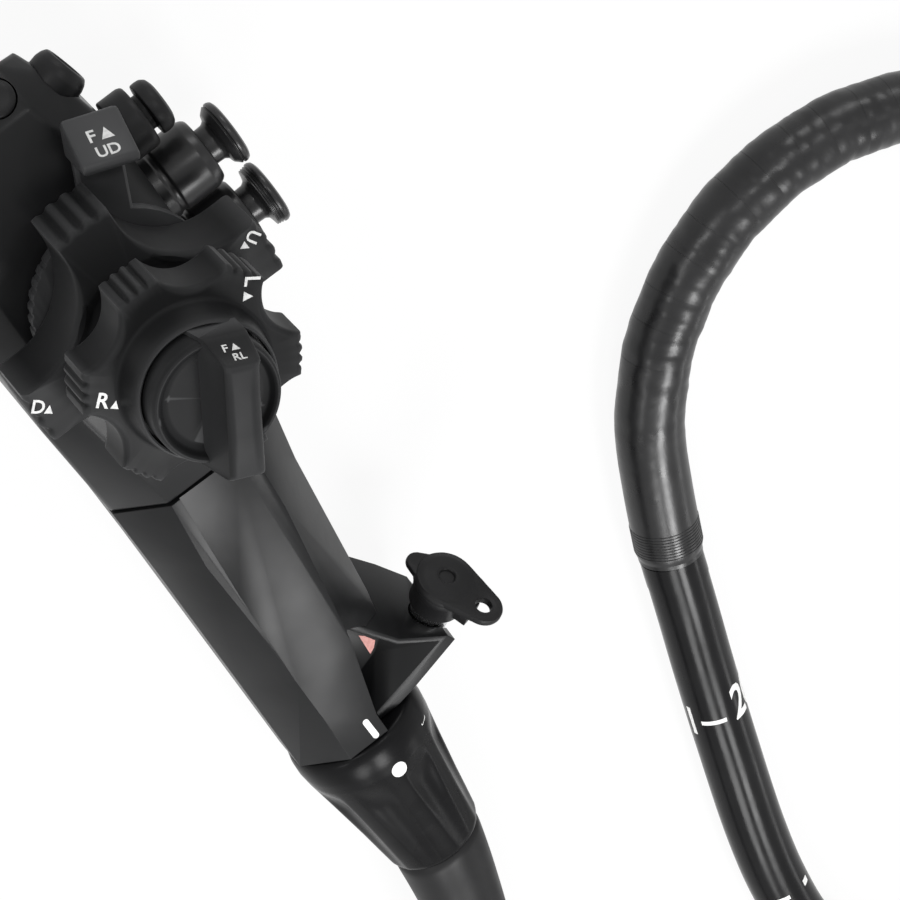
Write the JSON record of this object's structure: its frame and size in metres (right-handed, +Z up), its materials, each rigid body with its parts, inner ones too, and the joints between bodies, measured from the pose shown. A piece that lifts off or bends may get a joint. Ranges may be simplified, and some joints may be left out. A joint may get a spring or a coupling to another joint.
{
  "type": "flexible endoscope",
  "caption": "Flexible endoscope: control section with lobed knobs, valve buttons and brakes, channel port, stiffness ring, coiled insertion tube and linked bending tip.",
  "frame": {"origin": "on the table, under the centre of the control section (its box from head to boot, without the insertion tube)", "axes": "+Y from the boot to the head of the control section, +Z up through the knob stack, +X towards the valves and the channel port"},
  "size_m": [0.233, 0.4971, 0.0926],
  "materials": {
    "housing_plastic": "satin moulded plastic with a soft sheen",
    "black_plastic": "fine-grained black moulding",
    "black_rubber": "smooth black rubber",
    "tube_sheath": "glossy black polymer sheath",
    "stainless_steel": "fine-turned stainless steel",
    "brass": "machined",
    "optical_glass": "polished lens",
    "white_polymer": "white fluoropolymer tube and sheathed fibre bundle"
  },
  "bodies": {
    "control_section": {"control_housing": "housing_plastic", "back_cover": "housing_plastic", "grip_front_shell": "housing_plastic", "grip_back_shell": "housing_plastic", "chassis_plate": "stainless_steel", "knob_column": "black_plastic", "suction_cylinder": "black_plastic", "airwater_cylinder": "black_plastic", "suction_spring": "stainless_steel", "airwater_spring": "stainless_steel", "switch_bezel": "housing_plastic", "cord_gland": "black_plastic", "channel_branch": "housing_plastic", "channel_port": "stainless_steel", "valve_seat": "black_rubber", "ring_sleeve": "black_plastic", "strain_boot": "black_rubber", "tube_lead": "tube_sheath", "tube_coil": "tube_sheath", "tube_reach": "tube_sheath", "bending_collar": "tube_sheath", "passive_section": "black_rubber", "base_vertebra": "stainless_steel", "channel_tube": "white_polymer", "light_guide_bundle": "white_polymer", "wire_pipe": "stainless_steel"},
    "up_down_control": {"ud_knob": "black_plastic", "ud_shaft": "stainless_steel", "ud_drum": "brass"},
    "right_left_control": {"rl_knob": "black_plastic", "rl_shaft": "stainless_steel", "rl_drum": "brass"},
    "up_down_brake": {"ud_brake_lever": "black_plastic"},
    "right_left_brake": {"rl_brake_dial": "black_plastic", "brake_spindle": "stainless_steel"},
    "suction_valve": {"suction_button": "black_plastic", "suction_piston": "stainless_steel"},
    "airwater_valve": {"airwater_button": "black_plastic", "airwater_piston": "stainless_steel"},
    "remote_switch_a": {"remote_switch_1": "black_rubber"},
    "remote_switch_b": {"remote_switch_2": "black_rubber"},
    "remote_switch_c": {"remote_switch_3": "black_rubber"},
    "stiffness_dial": {"stiffness_ring": "black_rubber"},
    "port_lid": {"valve_lid": "black_rubber"},
    "link_01": {"vertebra_01": "stainless_steel"},
    "link_02": {"vertebra_02": "stainless_steel"},
    "link_03": {"vertebra_03": "stainless_steel"},
    "link_04": {"vertebra_04": "stainless_steel"},
    "link_05": {"vertebra_05": "stainless_steel"},
    "link_06": {"vertebra_06": "stainless_steel"},
    "link_07": {"vertebra_07": "stainless_steel"},
    "link_08": {"vertebra_08": "stainless_steel"},
    "link_09": {"vertebra_09": "stainless_steel"},
    "link_10": {"vertebra_10": "stainless_steel"},
    "link_11": {"vertebra_11": "stainless_steel"},
    "tip": {"distal_tip": "black_plastic", "objective_lens": "optical_glass", "light_lens_a": "optical_glass", "light_lens_b": "optical_glass", "air_water_nozzle": "stainless_steel"}
  },
  "joints": [
    {"name": "up_down_knob_turn", "type": "hinge", "parent": "control_section", "child": "up_down_control", "pos_m": [-0.00115, 0.08084, 0.048], "axis": [0, 0, 1], "range_deg": [-46, 133.5]},
    {"name": "right_left_knob_turn", "type": "hinge", "parent": "control_section", "child": "right_left_control", "pos_m": [-0.00115, 0.08084, 0.068], "axis": [0, 0, 1], "range_deg": [-80, 80]},
    {"name": "up_down_brake_turn", "type": "hinge", "parent": "control_section", "child": "up_down_brake", "pos_m": [-0.00115, 0.08084, 0.039], "axis": [0, 0, 1], "range_deg": [0, 38]},
    {"name": "right_left_brake_turn", "type": "hinge", "parent": "control_section", "child": "right_left_brake", "pos_m": [-0.00115, 0.08084, 0.082], "axis": [0, 0, 1], "range_deg": [0, 90]},
    {"name": "suction_press", "type": "slide", "parent": "control_section", "child": "suction_valve", "axis": [-1, 0, 0], "range_m": [0, 0.0024], "stiffness_N_per_m": 500, "springref_m": -0.002, "deforming": ["suction_spring"]},
    {"name": "airwater_press", "type": "slide", "parent": "control_section", "child": "airwater_valve", "axis": [-1, 0, 0], "range_m": [0, 0.0024], "stiffness_N_per_m": 500, "springref_m": -0.002, "deforming": ["airwater_spring"]},
    {"name": "remote_a_press", "type": "slide", "parent": "control_section", "child": "remote_switch_a", "axis": [-1, 0, 0], "range_m": [0, 0.001], "stiffness_N_per_m": 600, "springref_m": -0.001},
    {"name": "remote_b_press", "type": "slide", "parent": "control_section", "child": "remote_switch_b", "axis": [-0.963, -0.2696, 0], "range_m": [0, 0.0008], "stiffness_N_per_m": 600, "springref_m": -0.001},
    {"name": "remote_c_press", "type": "slide", "parent": "control_section", "child": "remote_switch_c", "axis": [0, -0.6, -0.8], "range_m": [0, 0.0006], "stiffness_N_per_m": 600, "springref_m": -0.001},
    {"name": "stiffness_dial_turn", "type": "hinge", "parent": "control_section", "child": "stiffness_dial", "pos_m": [-0.01155, -0.03716, 0.018], "axis": [0, 1, 0], "range_deg": [0, 120]},
    {"name": "port_lid_turn", "type": "hinge", "parent": "control_section", "child": "port_lid", "pos_m": [0.01996, -0.02685, 0.03035], "axis": [0.8189, -0.201, -0.5376], "range_deg": [0, 95]},
    {"name": "bend_ud_1", "type": "hinge", "parent": "control_section", "child": "link_01", "pos_m": [0.08185, -0.01966, 0.00775], "axis": [0, 0, 1], "range_deg": [-15.4, 44.6]},
    {"name": "bend_rl_1", "type": "hinge", "parent": "link_01", "child": "link_02", "pos_m": [0.08749, -0.01535, 0.00775], "axis": [-0.6074, 0.7944, 0], "range_deg": [-26.7, 26.7]},
    {"name": "bend_ud_2", "type": "hinge", "parent": "link_02", "child": "link_03", "pos_m": [0.09313, -0.01103, 0.00775], "axis": [0, 0, 1], "range_deg": [-15.4, 44.6]},
    {"name": "bend_rl_2", "type": "hinge", "parent": "link_03", "child": "link_04", "pos_m": [0.09968, -0.00828, 0.00775], "axis": [-0.3875, 0.9219, 0], "range_deg": [-26.7, 26.7]},
    {"name": "bend_ud_3", "type": "hinge", "parent": "link_04", "child": "link_05", "pos_m": [0.10622, -0.00553, 0.00775], "axis": [0, 0, 1], "range_deg": [-15.4, 44.6]},
    {"name": "bend_rl_3", "type": "hinge", "parent": "link_05", "child": "link_06", "pos_m": [0.11325, -0.00452, 0.00775], "axis": [-0.1426, 0.9898, 0], "range_deg": [-26.7, 26.7]},
    {"name": "bend_ud_4", "type": "hinge", "parent": "link_06", "child": "link_07", "pos_m": [0.12028, -0.00351, 0.00775], "axis": [0, 0, 1], "range_deg": [-15.4, 44.6]},
    {"name": "bend_rl_4", "type": "hinge", "parent": "link_07", "child": "link_08", "pos_m": [0.12733, -0.0043, 0.00775], "axis": [0.1115, 0.9938, 0], "range_deg": [-26.7, 26.7]},
    {"name": "bend_ud_5", "type": "hinge", "parent": "link_08", "child": "link_09", "pos_m": [0.13439, -0.00509, 0.00775], "axis": [0, 0, 1], "range_deg": [-15.4, 44.6]},
    {"name": "bend_rl_5", "type": "hinge", "parent": "link_09", "child": "link_10", "pos_m": [0.14102, -0.00763, 0.00775], "axis": [0.3584, 0.9336, 0], "range_deg": [-26.7, 26.7]},
    {"name": "bend_ud_6", "type": "hinge", "parent": "link_10", "child": "link_11", "pos_m": [0.14764, -0.01018, 0.00775], "axis": [0, 0, 1], "range_deg": [-15.4, 44.6]},
    {"name": "bend_rl_6", "type": "hinge", "parent": "link_11", "child": "tip", "pos_m": [0.15342, -0.01431, 0.00775], "axis": [0.5821, 0.8131, 0], "range_deg": [-26.7, 26.7]}
  ],
  "couplings": [
    {"joint": "bend_ud_1", "follows": "up_down_knob_turn", "ratio": 0.33333},
    {"joint": "bend_rl_1", "follows": "right_left_knob_turn", "ratio": 0.33333},
    {"joint": "bend_ud_2", "follows": "up_down_knob_turn", "ratio": 0.33333},
    {"joint": "bend_rl_2", "follows": "right_left_knob_turn", "ratio": 0.33333},
    {"joint": "bend_ud_3", "follows": "up_down_knob_turn", "ratio": 0.33333},
    {"joint": "bend_rl_3", "follows": "right_left_knob_turn", "ratio": 0.33333},
    {"joint": "bend_ud_4", "follows": "up_down_knob_turn", "ratio": 0.33333},
    {"joint": "bend_rl_4", "follows": "right_left_knob_turn", "ratio": 0.33333},
    {"joint": "bend_ud_5", "follows": "up_down_knob_turn", "ratio": 0.33333},
    {"joint": "bend_rl_5", "follows": "right_left_knob_turn", "ratio": 0.33333},
    {"joint": "bend_ud_6", "follows": "up_down_knob_turn", "ratio": 0.33333},
    {"joint": "bend_rl_6", "follows": "right_left_knob_turn", "ratio": 0.33333}
  ]
}
